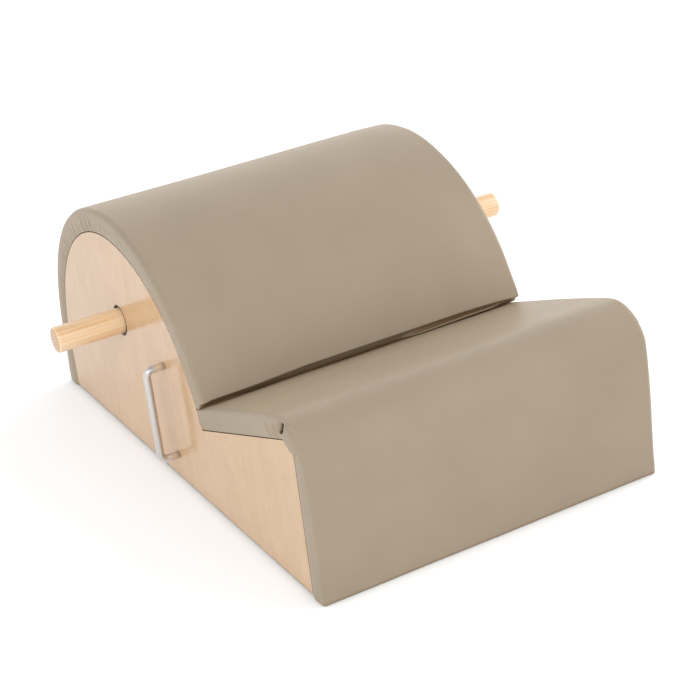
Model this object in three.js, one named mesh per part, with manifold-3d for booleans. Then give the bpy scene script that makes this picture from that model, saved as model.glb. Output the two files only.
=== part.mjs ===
// A pilates spine corrector: a half-round barrel and a low sloping step, side by side on two plywood
// side panels. Each pad is a moulded plywood deck with foam on it and a vinyl cover wrapped round both.
// A wooden hand dowel slides through both panels, and each panel has a bent steel carry handle.
// Frame: millimetres, +X forward from the barrel to the step, +Y to the left, +Z up. The origin is on the
// floor under the middle of the body.
import * as THREE from 'three';
import { mergeVertices } from 'three/addons/utils/BufferGeometryUtils.js';
import Module from 'manifold-3d';

const wasm = await Module();
wasm.setup();

const radians = THREE.MathUtils.degToRad;

// Body
const panelLength = 732; // back edge to front edge
const panelThickness = 18;
const bodyWidth = 467; // over the outer faces of the two panels
const gripThickness = 3; // rubber strip under each panel
const archRadius = 236; // edge of the panel under the barrel pad
const archCentreHeight = 65.5; // above the floor
const barrelEndAngle = radians(19.6); // where the barrel pad stops above the step
const seatSlope = radians(19.05);
const notchDepth = 36; // from the end of the arch down to the seat's line, square to it
const crestRadius = 20; // panel's round corner at the top of the step

// Pads, measured outwards from the panel's edge
const barrelPadThickness = 32;
const barrelBackWaist = 7; // less where the pad runs down the back
const seatPadThickness = 29.5; // on the step's slope
const seatCrown = 1.2; // more in the middle of the slope
const crestPadThickness = 26.2; // where the foam is squeezed round the crest
const frontPadThickness = 29.2; // at the top and the bottom of the front face
const frontCrown = 4.2; // more in the middle of the front face
const deckThickness = 8;
const coverThickness = 1.2;
const padEdgeRadius = 7; // along the sides of a pad's top
const padEndRadius = 4; // across the two ends of a pad's top
const sideBulge = 1; // foam's side stands this far past the deck's edge
const endDrawShare = 0.2; // of the end's rounding, taken off each side of the top
// Where the back waist starts, is full, fades and ends, along the barrel's edge
const backWaistShares = [0.007, 0.104, 0.13, 0.42];
const padFloorGap = 0.4; // lower ends of the pads above the floor
const notchGap = 0.8; // step pad's back end off the notch in the panel
const coverTurn = 16; // cover folded under the two ends of a deck

// Rails between the panels
const railThickness = 18;
const endRailWidth = 56;
const topRailWidth = 60;
const middleRailWidth = 45;
const centreRailWidth = 80;
const crestRailMargin = 4; // crest rail's side off the start of the round corner
const tenonDepth = 9;
const tenonInset = 10; // tenon narrower than its rail, each side
const tenonShoulder = 5; // tenon thinner than its rail, each face

// Hand dowel
const dowelDiameter = 35;
const dowelLength = 692;
const dowelHeight = 184.4; // its axis, above the floor
const dowelOffset = 19; // it stands out further on the left
const dowelEndRadius = 3;
const dowelHoleClearance = 1.25; // in the radius of the holes

// Carry handles
const handleCentres = 128; // between the two screws
const handleBar = 10; // bar's diameter
const handleReach = 25; // panel's face to the middle of the bar
const handleBend = 9; // bend's radius, at the middle of the bar
const handleOffset = 136; // in front of the dowel
const handleLowHeight = 37.4; // lower screw above the floor
const handleHoleDepth = 13;

// Screws and washers
const deckScrewShank = 4;
const deckScrewHead = 8.4;
const deckScrewHeadHeight = 2.6;
const deckScrewLength = 25;
const deckScrewPoint = 4;
const deckScrewSide = 120; // off the middle of the rail
const handleScrewShank = 4;
const handleScrewHead = 8;
const handleScrewHeadHeight = 2.8;
const handleScrewLength = 30;
const handleScrewPoint = 0.6;
const recessLengthShare = 0.6; // of the head's diameter
const recessWidth = 1.1;
const recessDepth = 1.5;
const washerDiameter = 10;
const washerThickness = 1;

// Rubber grip strips
const gripWidth = 15;
const gripEndInset = 8;
const centreGripWidth = 30;
const centreGripEndInset = 15;

// Clearances and the fineness of round shapes
const fitGap = 0.3; // between pieces that touch
const overrun = 5; // of a cutting tool past a face
const leastStep = 0.4; // between two sections of one sweep
const facetAngle = radians(4.5);
const bendFacetAngle = radians(15);
const frontSteps = 6;
const seatSteps = 4;
const backSteps = 2;
const dowelSides = 36;
const barSides = 12;
const screwFacets = 12;
const edgeSteps = 3;
const underSteps = 1;
const endSteps = 3;

// Places that follow from those sizes
const halfLength = panelLength / 2;
const halfWidth = bodyWidth / 2;
const innerHalf = halfWidth - panelThickness;
const archCentre = [-halfLength + archRadius, archCentreHeight];
const skin = coverThickness + fitGap; // cover and its gap, on each side of what it wraps
const deckLow = fitGap + coverThickness + fitGap;
const deckHigh = deckLow + deckThickness;
const foamLow = deckHigh + fitGap;
const padLowEnd = padFloorGap - gripThickness; // measured along the panel's edge from its bottom
const railHigh = deckLow - fitGap; // a rail stands up between the panels to meet its deck
const railClear = coverTurn + fitGap; // a rail's side off the end of its pad
const dowelHoleRadius = dowelDiameter / 2 + dowelHoleClearance;
// The dowel lies in the bottom of its holes.
const dowelHoleHeight = dowelHeight + dowelHoleClearance - fitGap;
const handleX = archCentre[0] + handleOffset;
const handleHeights = [handleLowHeight, handleLowHeight + handleCentres];

const colours = {
  ply: { color: 0xdcc2a4, roughness: 0.55, metalness: 0 },
  rail: { color: 0xd9bd97, roughness: 0.7, metalness: 0 },
  dowel: { color: 0xefc592, roughness: 0.45, metalness: 0 },
  vinyl: { color: 0xb0a28d, roughness: 0.5, metalness: 0 },
  foam: { color: 0xe9e2c8, roughness: 0.95, metalness: 0 },
  steel: { color: 0xc9c9cf, roughness: 0.3, metalness: 0.9 },
  rubber: { color: 0x4a4744, roughness: 0.85, metalness: 0 },
};

// Solids and meshes

function solid(geometry) {
  const bare = geometry.clone();
  bare.deleteAttribute('normal');
  bare.deleteAttribute('uv');
  const merged = mergeVertices(bare);
  return new wasm.Manifold(new wasm.Mesh({
    numProp: 3,
    vertProperties: merged.attributes.position.array,
    triVerts: new Uint32Array(merged.index.array),
  }));
}

function geometryOf(shape) {
  const { numProp, vertProperties, triVerts } = shape.getMesh();
  const positions = [];
  for (let i = 0; i < vertProperties.length; i += numProp) {
    positions.push(vertProperties[i], vertProperties[i + 1], vertProperties[i + 2]);
  }
  const geometry = new THREE.BufferGeometry();
  geometry.setAttribute('position', new THREE.Float32BufferAttribute(positions, 3));
  geometry.setIndex([...triVerts]);
  geometry.computeVertexNormals();
  return geometry;
}

function piece(name, geometry, colour) {
  const mesh = new THREE.Mesh(geometry, new THREE.MeshStandardMaterial(colours[colour]));
  mesh.name = name;
  return mesh;
}

// Side-view tracks. A track is the route along a panel's edge that a pad or a rail follows. A point on it
// is a length along it, and a height off it on its left-hand side, which faces out of the body.

function breaksOf(length, steps) {
  return Array.from({ length: steps - 1 }, (_, k) => (length * (k + 1)) / steps);
}

function line(from, to, steps = 1) {
  const length = Math.hypot(to[0] - from[0], to[1] - from[1]);
  const run = [(to[0] - from[0]) / length, (to[1] - from[1]) / length];
  return {
    length,
    breaks: breaksOf(length, steps),
    at: (s) => ({ x: from[0] + run[0] * s, z: from[1] + run[1] * s, nx: -run[1], nz: run[0] }),
  };
}

function clockwiseArc(centre, radius, fromAngle, toAngle, facet = facetAngle) {
  const length = radius * (fromAngle - toAngle);
  return {
    length,
    breaks: breaksOf(length, Math.ceil((fromAngle - toAngle) / facet)),
    at: (s) => {
      const angle = fromAngle - s / radius;
      const nx = Math.cos(angle);
      const nz = Math.sin(angle);
      return { x: centre[0] + radius * nx, z: centre[1] + radius * nz, nx, nz };
    },
  };
}

function track(...stretches) {
  const starts = [];
  const breaks = [];
  let length = 0;
  for (const stretch of stretches) {
    starts.push(length);
    breaks.push(length, ...stretch.breaks.map((s) => length + s));
    length += stretch.length;
  }
  const at = (s) => {
    let i = stretches.length - 1;
    while (i > 0 && s < starts[i]) i -= 1;
    return stretches[i].at(s - starts[i]);
  };
  // Lengths from s0 to s1 that follow every bend, with those in extra and no two nearly alike.
  const stations = (s0, s1, extra = []) => {
    const kept = [s0, ...extra, s1].sort((a, b) => a - b);
    const added = breaks.filter((s) => kept.every((k) => Math.abs(k - s) > leastStep) && s > s0 && s < s1);
    return [...kept, ...added].sort((a, b) => a - b);
  };
  return { length, at, stations };
}

const underside = gripThickness; // height of the panels' bottom edge
const seatRun = [Math.cos(seatSlope), Math.sin(seatSlope)];
const archEnd = [
  archCentre[0] + archRadius * Math.cos(barrelEndAngle),
  archCentre[1] + archRadius * Math.sin(barrelEndAngle),
];
// The notch goes square to the seat, from the end of the arch to the seat's line.
const notchCorner = [archEnd[0] + notchDepth * seatRun[1], archEnd[1] - notchDepth * seatRun[0]];
const seatLength = (halfLength - notchCorner[0]) / seatRun[0]; // to the front edge's line
const seatCorner = [halfLength, notchCorner[1] + seatLength * seatRun[1]];
const crestTurn = Math.PI / 2 + seatSlope;
const crestTangent = crestRadius * Math.tan(crestTurn / 2);
const crestStart = [seatCorner[0] - crestTangent * seatRun[0], seatCorner[1] - crestTangent * seatRun[1]];
const crestCentre = [halfLength - crestRadius, seatCorner[1] - crestTangent];

const barrelTrack = track(
  line([-halfLength, underside], [-halfLength, archCentreHeight], backSteps),
  clockwiseArc(archCentre, archRadius, Math.PI, barrelEndAngle),
);
const stepTrack = track(
  line(notchCorner, crestStart, seatSteps),
  clockwiseArc(crestCentre, crestRadius, crestTurn, 0),
  line([halfLength, crestCentre[1]], [halfLength, underside], frontSteps),
);
const floorTrack = track(line([halfLength, underside], [-halfLength, underside]));

// A swept solid: ringAt(s) gives the section there as [y, height off the track], turning anticlockwise.
function sweep(route, lengths, ringAt) {
  const positions = [];
  const rings = lengths.map((s) => {
    const { x, z, nx, nz } = route.at(s);
    return ringAt(s).map(([y, height]) => [x + nx * height, y, z + nz * height]);
  });
  const triangle = (a, b, c) => positions.push(...a, ...b, ...c);
  const count = rings[0].length;
  for (let i = 0; i + 1 < rings.length; i += 1) {
    for (let j = 0; j < count; j += 1) {
      const next = (j + 1) % count;
      triangle(rings[i][j], rings[i][next], rings[i + 1][j]);
      triangle(rings[i][next], rings[i + 1][next], rings[i + 1][j]);
    }
  }
  for (const [ring, facesBack] of [[rings[0], true], [rings[rings.length - 1], false]]) {
    const middle = [0, 1, 2].map((axis) => ring.reduce((sum, p) => sum + p[axis], 0) / count);
    for (let j = 0; j < count; j += 1) {
      const next = (j + 1) % count;
      if (facesBack) triangle(middle, ring[next], ring[j]);
      else triangle(middle, ring[j], ring[next]);
    }
  }
  const geometry = new THREE.BufferGeometry();
  geometry.setAttribute('position', new THREE.Float32BufferAttribute(positions, 3));
  return solid(geometry);
}

// A plain board or shell that follows a track from s0 to s1, between two heights off it.
function band(route, s0, s1, low, high, half) {
  const ring = [[-half, low], [half, low], [half, high], [-half, high]];
  return sweep(route, route.stations(s0, s1), () => ring);
}

// Section of a pad: turned under at the bottom, drawn in at the side, round at the top.
function padSection(form, high, drop) {
  const right = [];
  const corner = (y, height, radius, fromAngle, steps) => {
    const last = radius > 0 ? steps : 0;
    for (let k = 0; k <= last; k += 1) {
      const angle = fromAngle + (Math.PI / 2) * (k / steps);
      right.push([y + radius * Math.cos(angle), height + radius * Math.sin(angle)]);
    }
  };
  const { low, half, underRadius, edgeRadius } = form;
  const topHalf = half + sideBulge - drop * endDrawShare;
  corner(half - underRadius, low + underRadius, underRadius, -Math.PI / 2, underSteps);
  corner(topHalf - edgeRadius, high - drop - edgeRadius, edgeRadius, 0, edgeSteps);
  return [...right, ...right.map(([y, height]) => [-y, height]).reverse()];
}

// A pad's outer form from s0 to s1, with its two ends rounded over.
function padForm(route, s0, s1, form) {
  const ends = [];
  const dropAt = new Map();
  for (let k = 0; k <= endSteps; k += 1) {
    const angle = (Math.PI / 2) * (k / endSteps);
    const inset = form.endRadius * (1 - Math.cos(angle));
    const drop = form.endRadius * (1 - Math.sin(angle));
    dropAt.set(s0 + inset, drop);
    dropAt.set(s1 - inset, drop);
    if (k > 0) ends.push(s0 + inset, s1 - inset);
  }
  const ringAt = (s) => padSection(form, form.highAt(s), dropAt.get(s) ?? 0);
  return sweep(route, route.stations(s0, s1, ends), ringAt);
}

// Turns a shape made along +Z so that it runs along the outward direction at a place on a track.
function setOnTrack(mesh, route, s, y, height) {
  const { x, z, nx, nz } = route.at(s);
  mesh.position.set(x + nx * height, y, z + nz * height);
  mesh.rotation.y = Math.atan2(nx, nz);
  mesh.updateMatrix();
  return mesh;
}

function rod(radius, length, sides) {
  const cylinder = new THREE.CylinderGeometry(radius, radius, length, sides);
  return cylinder.rotateX(Math.PI / 2).translate(0, 0, length / 2);
}

// Rails, each a board on one track, with a stub tenon at each end
const deckRails = [
  { name: 'rear_rail', route: barrelTrack, start: padLowEnd + railClear, width: endRailWidth },
  {
    name: 'top_rail',
    route: barrelTrack,
    start: archCentreHeight - underside + archRadius * (Math.PI / 2) - topRailWidth / 2,
    width: topRailWidth,
  },
  {
    name: 'barrel_front_rail',
    route: barrelTrack,
    start: barrelTrack.length - railClear - middleRailWidth,
    width: middleRailWidth,
  },
  { name: 'step_rear_rail', route: stepTrack, start: notchGap + railClear, width: middleRailWidth },
  {
    name: 'crest_rail',
    route: stepTrack,
    start: seatLength - crestTangent - crestRailMargin - middleRailWidth,
    width: middleRailWidth,
  },
  {
    name: 'front_rail',
    route: stepTrack,
    start: stepTrack.length - padLowEnd - railClear - endRailWidth,
    width: endRailWidth,
  },
].map((rail) => ({ ...rail, high: railHigh, screwSides: [-deckScrewSide, deckScrewSide] }));
const centreRail = {
  name: 'centre_rail',
  route: floorTrack,
  start: halfLength - centreRailWidth / 2,
  width: centreRailWidth,
  high: 0,
  screwSides: [],
};
const rails = [...deckRails, centreRail];

function tenons({ route, start, width, high }, gap) {
  return band(
    route,
    start + tenonInset - gap,
    start + width - tenonInset + gap,
    high - railThickness + tenonShoulder - gap,
    high - tenonShoulder + gap,
    innerHalf + tenonDepth + gap,
  );
}

function screwBores({ route, start, width, high, screwSides }) {
  const low = high - railThickness - overrun;
  return screwSides.map((y) => {
    const bore = rod(deckScrewShank / 2 + fitGap, overrun + deckScrewLength + fitGap, screwFacets);
    const placed = setOnTrack(new THREE.Mesh(bore), route, start + width / 2, y, low);
    return solid(bore.applyMatrix4(placed.matrix));
  });
}

function railPiece(rail) {
  const { name, route, start, width, high } = rail;
  let shape = band(route, start, start + width, high - railThickness, high, innerHalf - fitGap);
  shape = shape.add(tenons(rail, 0));
  for (const bore of screwBores(rail)) shape = shape.subtract(bore);
  return piece(name, geometryOf(shape), 'rail');
}

// Side panels
function panelOutline() {
  const outline = [];
  const follow = (route) => {
    for (const s of route.stations(0, route.length)) {
      const { x, z } = route.at(s);
      outline.push(new THREE.Vector2(x, z));
    }
  };
  follow(barrelTrack);
  follow(stepTrack);
  return new THREE.Shape(outline);
}

// Turns a shape drawn in the side view into a board whose outer face is side * outerY.
function uprightBoard(shape, thickness, outerY, side) {
  const flat = new THREE.ExtrudeGeometry(shape, { depth: thickness, bevelEnabled: false });
  const toRight = side > 0 ? outerY : -outerY + thickness;
  return flat.rotateX(Math.PI / 2).translate(0, toRight, 0);
}

function crossBore(radius, sides, x, z, side) {
  const bore = rod(radius, panelThickness + 2 * overrun, sides);
  bore.rotateX(-side * (Math.PI / 2));
  bore.translate(x, side * (innerHalf - overrun), z);
  return solid(bore);
}

function sidePanel(name, side) {
  let shape = solid(uprightBoard(panelOutline(), panelThickness, halfWidth, side));
  shape = shape.subtract(crossBore(dowelHoleRadius, dowelSides, archCentre[0], dowelHoleHeight, side));
  for (const z of handleHeights) {
    shape = shape.subtract(crossBore(handleScrewShank / 2 + fitGap, screwFacets, handleX, z, side));
  }
  for (const rail of rails) shape = shape.subtract(tenons(rail, fitGap));
  return piece(name, geometryOf(shape), 'ply');
}

// Pads
function barrelPadThicknessAt(s) {
  const [start, full, fading, end] = backWaistShares.map((share) => share * barrelTrack.length);
  const waist = THREE.MathUtils.smoothstep(s, start, full) * (1 - THREE.MathUtils.smoothstep(s, fading, end));
  return barrelPadThickness - barrelBackWaist * waist;
}

function stepPadThickness(s) {
  const crestEnd = seatLength - crestTangent + crestRadius * crestTurn;
  const crestMiddle = crestEnd - (crestRadius * crestTurn) / 2;
  const intoCrest = THREE.MathUtils.smoothstep(s, seatLength - crestTangent, crestMiddle);
  const outOfCrest = THREE.MathUtils.smoothstep(s, crestMiddle, crestEnd);
  const up = THREE.MathUtils.clamp(s / (seatLength - crestTangent), 0, 1);
  const down = THREE.MathUtils.clamp((s - crestEnd) / (stepTrack.length - crestEnd), 0, 1);
  return seatPadThickness
    + (crestPadThickness - seatPadThickness) * intoCrest
    + (frontPadThickness - crestPadThickness) * outOfCrest
    + seatCrown * Math.sin(Math.PI * up)
    + frontCrown * Math.sin(Math.PI * down);
}

function pad(name, route, s0, s1, thicknessAt) {
  const outer = padForm(route, s0, s1, {
    low: fitGap,
    highAt: thicknessAt,
    half: halfWidth + skin,
    underRadius: coverThickness,
    edgeRadius: padEdgeRadius,
    endRadius: padEndRadius,
  });
  const hollow = padForm(route, s0 + coverThickness, s1 - coverThickness, {
    low: fitGap + coverThickness,
    highAt: (s) => thicknessAt(s) - coverThickness,
    half: halfWidth + fitGap,
    underRadius: 0,
    edgeRadius: padEdgeRadius - coverThickness,
    endRadius: padEndRadius - coverThickness,
  });
  const openUnderside = band(
    route,
    s0 + coverTurn,
    s1 - coverTurn,
    -overrun,
    fitGap + coverThickness + fitGap / 2,
    innerHalf,
  );
  const foam = padForm(route, s0 + skin, s1 - skin, {
    low: foamLow,
    highAt: (s) => thicknessAt(s) - skin,
    half: halfWidth,
    underRadius: 0,
    edgeRadius: padEdgeRadius - skin,
    endRadius: padEndRadius - skin,
  });
  let deck = band(route, s0 + skin, s1 - skin, deckLow, deckHigh, halfWidth);
  for (const rail of deckRails.filter((each) => each.route === route)) {
    for (const bore of screwBores(rail)) deck = deck.subtract(bore);
  }
  const group = new THREE.Group();
  group.add(
    piece(`${name}_deck`, geometryOf(deck), 'ply'),
    piece(`${name}_foam`, geometryOf(foam), 'foam'),
    piece(`${name}_cover`, geometryOf(outer.subtract(hollow).subtract(openUnderside)), 'vinyl'),
  );
  return group;
}

// Hand dowel
function handDowel() {
  const profile = [new THREE.Vector2(0, 0)];
  const radius = dowelDiameter / 2;
  for (let k = 0; k <= edgeSteps; k += 1) {
    const angle = (Math.PI / 2) * (k / edgeSteps);
    const out = dowelEndRadius * Math.sin(angle);
    const along = dowelEndRadius * (1 - Math.cos(angle));
    profile.push(new THREE.Vector2(radius - dowelEndRadius + out, along));
  }
  const farEnd = profile.map((p) => new THREE.Vector2(p.x, dowelLength - p.y)).reverse();
  const mesh = piece('hand_dowel', new THREE.LatheGeometry([...profile, ...farEnd], dowelSides), 'dowel');
  mesh.position.set(archCentre[0], dowelOffset - dowelLength / 2, dowelHeight);
  return mesh;
}

// Screws, made along +Z from under the head to the point
function screw(name, { shank, head, headHeight, length, point }) {
  const profile = [
    [0, -headHeight],
    [head / 2 - headHeight / 2, -headHeight],
    [head / 2, -headHeight / 2],
    [head / 2, 0],
    [shank / 2, 0],
    [shank / 2, length - point],
    [0, length],
  ].map(([r, z]) => new THREE.Vector2(r, z));
  const turned = new THREE.LatheGeometry(profile, screwFacets).rotateX(Math.PI / 2);
  const slot = (x, y) => {
    const box = new THREE.BoxGeometry(x, y, recessDepth + overrun);
    return solid(box.translate(0, 0, -headHeight + (recessDepth - overrun) / 2));
  };
  const reach = head * recessLengthShare;
  const recess = slot(reach, recessWidth).add(slot(recessWidth, reach));
  return piece(name, geometryOf(solid(turned).subtract(recess)), 'steel');
}

function deckScrews() {
  const group = new THREE.Group();
  for (const { name, route, start, width, high, screwSides } of deckRails) {
    for (const y of screwSides) {
      const mesh = screw(`${name}_screw_${y < 0 ? 'right' : 'left'}`, {
        shank: deckScrewShank,
        head: deckScrewHead,
        headHeight: deckScrewHeadHeight,
        length: deckScrewLength,
        point: deckScrewPoint,
      });
      group.add(setOnTrack(mesh, route, start + width / 2, y, high - railThickness - fitGap));
    }
  }
  return group;
}

// Carry handles, each made with its panel's outer face at x = 0 and its bar out towards -X
function handleBarShape() {
  const [low, high] = handleHeights;
  const bendOut = handleReach - handleBend; // panel's face to the bends' centres
  const route = track(
    line([-fitGap, low], [-bendOut, low]),
    clockwiseArc([-bendOut, low + handleBend], handleBend, 1.5 * Math.PI, Math.PI, bendFacetAngle),
    line([-handleReach, low + handleBend], [-handleReach, high - handleBend]),
    clockwiseArc([-bendOut, high - handleBend], handleBend, Math.PI, 0.5 * Math.PI, bendFacetAngle),
    line([-bendOut, high], [-fitGap, high]),
  );
  const ring = [];
  for (let k = 0; k < barSides; k += 1) {
    const angle = (2 * Math.PI * k) / barSides;
    ring.push([(handleBar / 2) * Math.cos(angle), (handleBar / 2) * Math.sin(angle)]);
  }
  let bar = sweep(route, route.stations(0, route.length), () => ring);
  for (const z of handleHeights) {
    const hole = rod(handleScrewShank / 2 + fitGap, handleHoleDepth + overrun, screwFacets);
    bar = bar.subtract(solid(hole.rotateY(-Math.PI / 2).translate(overrun, 0, z)));
  }
  return bar;
}

function washerShape() {
  const outer = rod(washerDiameter / 2, washerThickness, screwFacets);
  const inner = rod(handleScrewShank / 2 + fitGap, washerThickness + 2 * overrun, screwFacets);
  return solid(outer).subtract(solid(inner.translate(0, 0, -overrun)));
}

function carryHandle(word, side) {
  const group = new THREE.Group();
  group.add(piece(`${word}_carry_handle`, geometryOf(handleBarShape()), 'steel'));
  const washerX = panelThickness + fitGap + washerThickness;
  for (const [place, z] of [['lower', handleHeights[0]], ['upper', handleHeights[1]]]) {
    const washer = piece(`${word}_handle_washer_${place}`, geometryOf(washerShape()), 'steel');
    const mesh = screw(`${word}_handle_screw_${place}`, {
      shank: handleScrewShank,
      head: handleScrewHead,
      headHeight: handleScrewHeadHeight,
      length: handleScrewLength,
      point: handleScrewPoint,
    });
    washer.position.set(washerX, 0, z);
    mesh.position.set(washerX + fitGap, 0, z);
    washer.rotation.y = -Math.PI / 2;
    mesh.rotation.y = -Math.PI / 2;
    group.add(washer, mesh);
  }
  group.rotation.z = (-side * Math.PI) / 2;
  group.position.set(handleX, side * halfWidth, 0);
  return group;
}

// Grip strips
function gripStrips() {
  const group = new THREE.Group();
  const height = gripThickness - fitGap;
  const along = panelLength - 2 * gripEndInset;
  const across = 2 * (innerHalf - centreGripEndInset);
  const panelMiddle = halfWidth - panelThickness / 2;
  for (const [name, x, y, place] of [
    ['right_grip_strip', along, gripWidth, -panelMiddle],
    ['left_grip_strip', along, gripWidth, panelMiddle],
    ['centre_grip_strip', centreGripWidth, across, 0],
  ]) {
    const strip = piece(name, new THREE.BoxGeometry(x, y, height), 'rubber');
    strip.position.set(0, place, height / 2);
    group.add(strip);
  }
  return group;
}

const spineCorrector = new THREE.Group();
spineCorrector.add(
  sidePanel('right_side_panel', -1),
  sidePanel('left_side_panel', 1),
  ...rails.map(railPiece),
  pad('barrel', barrelTrack, padLowEnd, barrelTrack.length, barrelPadThicknessAt),
  pad('step', stepTrack, notchGap, stepTrack.length - padLowEnd, stepPadThickness),
  deckScrews(),
  handDowel(),
  carryHandle('right', -1),
  carryHandle('left', 1),
  gripStrips(),
);

export default spineCorrector;
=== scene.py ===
import math

import bmesh
import bpy
import numpy as np
from mathutils import Matrix, Vector


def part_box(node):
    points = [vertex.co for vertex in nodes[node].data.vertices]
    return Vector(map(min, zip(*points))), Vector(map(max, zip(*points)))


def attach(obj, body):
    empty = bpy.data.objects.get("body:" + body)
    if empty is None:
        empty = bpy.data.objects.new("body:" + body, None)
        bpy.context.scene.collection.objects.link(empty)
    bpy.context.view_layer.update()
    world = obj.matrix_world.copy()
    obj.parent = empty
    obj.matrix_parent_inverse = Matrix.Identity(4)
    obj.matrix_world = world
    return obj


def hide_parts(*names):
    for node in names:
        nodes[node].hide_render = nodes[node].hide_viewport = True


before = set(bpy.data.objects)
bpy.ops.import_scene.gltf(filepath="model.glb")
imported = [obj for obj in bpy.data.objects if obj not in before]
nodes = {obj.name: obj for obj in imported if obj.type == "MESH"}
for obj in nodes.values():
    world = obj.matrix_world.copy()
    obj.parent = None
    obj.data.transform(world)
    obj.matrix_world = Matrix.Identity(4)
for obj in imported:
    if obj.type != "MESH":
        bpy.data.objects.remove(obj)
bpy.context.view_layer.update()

# Sizes of the body that its boxes don't give
ARCH_RADIUS = 0.236
BARREL_END_ANGLE = math.radians(19.6)
SEAT_SLOPE = math.radians(19.05)
NOTCH_DEPTH = 0.036
CREST_RADIUS = 0.020
HANDLE_BEND = 0.009
BORE_CLEARANCE = 0.00125

# Sizes and places from the frame
panel_low, panel_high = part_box("right_side_panel")
dowel_low, dowel_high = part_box("hand_dowel")
handle_low, handle_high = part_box("right_carry_handle")
HALF_LENGTH = panel_high.x
HALF_WIDTH = -panel_low.y
INNER_HALF = -panel_high.y
UNDERSIDE = panel_low.z
ARCH_CENTRE = (-HALF_LENGTH + ARCH_RADIUS, panel_high.z - ARCH_RADIUS)
dowel_centre = ((dowel_low.x + dowel_high.x) / 2, (dowel_low.z + dowel_high.z) / 2)
bore_radius = (dowel_high.x - dowel_low.x) / 2 + BORE_CLEARANCE
handle_x = (handle_low.x + handle_high.x) / 2
handle_z = (handle_low.z + handle_high.z) / 2

# Pads
COVER_THICKNESS = 0.0008
UNDER_GAP = 0.0009  # cover's underside above the panel's edge
UNDER_RADIUS = 0.0016  # where the cover turns under the deck
FLAP_WIDTH = 0.016  # cover folded under the ends of the deck
SIDE_STAND = 0.0015  # cover's side off the panel's outer face
SIDE_BULGE = 0.0010
FOOT_DRAWN_IN = 0.0012  # at the foot of the side, almost flush with the panel
FOOT_HEIGHTS = (0.011, 0.002)  # from none of that to all of it
DECK_HIGH = 0.0100  # deck's top above the panel's edge
DECK_CLEAR = 0.0002  # least that a crease leaves outside the deck
CREASE_ROOM, CREASE_ROOM_RISE = 0.006, 0.003  # above the deck it may go deeper, over this rise
FOAM_INSET = 0.0028  # foam's face inside the cover's
FOAM_LOW = 0.0101  # foam's underside above the panel's edge, on top of the deck
PAD_FLOOR_GAP = 0.0004
BARREL_THICKNESS = 0.032
BACK_WAIST = 0.0070  # barrel pad drawn thinner down its back
BACK_WAIST_SHARES = (0.007, 0.104, 0.13, 0.42)  # of its length: where that starts, is full, fades and ends
TOP_CROWN = 0.0011  # barrel pad fuller over its top
TOP_CROWN_ANGLE, TOP_CROWN_WIDTH = 92, 0.13
SEAT_THICKNESS = 0.0295
SEAT_CROWN = 0.0012
CREST_THICKNESS = 0.0262
CREST_LEAD_IN, CREST_LEAD_OUT = 0.01, 0.02  # the thickness starts to change before the crest, ends after it
FRONT_THICKNESS = 0.0292
FRONT_CROWN = 0.0042
STEP_START = 0.0008  # step pad's back end off the notch
EDGE_RADIUS = 0.0060  # along the sides of a pad's top
CORNER_EDGE_RADIUS = 0.0030  # where those reach the barrel's front end and the step's foot
CORNER_EDGE_LENGTHS = (0.035, 0.004)  # before that end: from none of it to all of it
LEAST_RADIUS = 0.001
BARREL_END_RADII = (0.0025, 0.0019)  # back and front end
STEP_END_RADII = (0.0045, 0.0022)
CORNER_RADIUS = 0.0015  # upright corners beside the deck
CORNER_LOW, CORNER_HIGH = 0.010, 0.018  # between these heights the upright corners widen

# Lines of their meshes
COVER_STEPS = (0.0024, 0.008, 0.0007)  # along, across and up
FOAM_STEPS = (0.006, 0.012, 0.004)
SIDE_BAND, SIDE_BAND_STEP = 0.03, 0.003  # closer lines beside the edges of the top
EDGE_STEPS = 5  # in half of an edge's rounding
CORNER_STEPS = 4  # in the turn under the deck
SAME_LINE = 1e-5
SAME_POINT = 1e-6

# Camera, from the photograph's vanishing lines
CAMERA_PLACE = (1.9234, -0.9329, 1.0777)
CAMERA_AZIMUTH = math.radians(63.27)
CAMERA_ELEVATION = math.radians(24.46)
CAMERA_ROLL = math.radians(-6.97)
CAMERA_LENS = 89.8


def smooth(x, low, high):
    """0 before low and 1 after high, with a soft start and end. high may be less than low."""
    t = np.clip((x - low) / (high - low), 0, 1)
    return t * t * (3 - 2 * t)


def between(x, start, full, fading, end):
    """Rises softly from 0 at start to 1 at full, and falls from 1 at fading to 0 at end."""
    return smooth(x, start, full) * smooth(x, end, fading)


def hump(x, middle, width):
    """A round hump, 1 in the middle and near 0 two widths off."""
    return np.exp(-(((x - middle) / width) ** 2))


# Side-view routes that the pads follow. A place on a route is a length along it and a height off it.


def straight(start, end):
    start, end = np.array(start), np.array(end)
    length = float(np.linalg.norm(end - start))
    run = (end - start) / length

    def at(s):
        return start + run * s[:, None], np.tile([-run[1], run[0]], (len(s), 1))

    return length, at


def arc(centre, radius, from_angle, to_angle):
    def at(s):
        angle = from_angle - s / radius
        out = np.stack([np.cos(angle), np.sin(angle)], axis=1)
        return np.array(centre) + radius * out, out

    return radius * (from_angle - to_angle), at


class Route:
    def __init__(self, *stretches):
        self.stretches = stretches
        self.starts = np.cumsum([0] + [length for length, _ in stretches])
        self.length = float(self.starts[-1])

    def place(self, s, y, h):
        """The points at lengths s along the route, y across it and heights h off it."""
        points = np.zeros((len(s), 3))
        which = np.clip(np.searchsorted(self.starts, s, side="right") - 1, 0, len(self.stretches) - 1)
        for k, (_, at) in enumerate(self.stretches):
            here = which == k
            base, out = at(s[here] - self.starts[k])
            flat = base + out * h[here][:, None]
            points[here] = np.stack([flat[:, 0], y[here], flat[:, 1]], axis=1)
        return points


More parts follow.
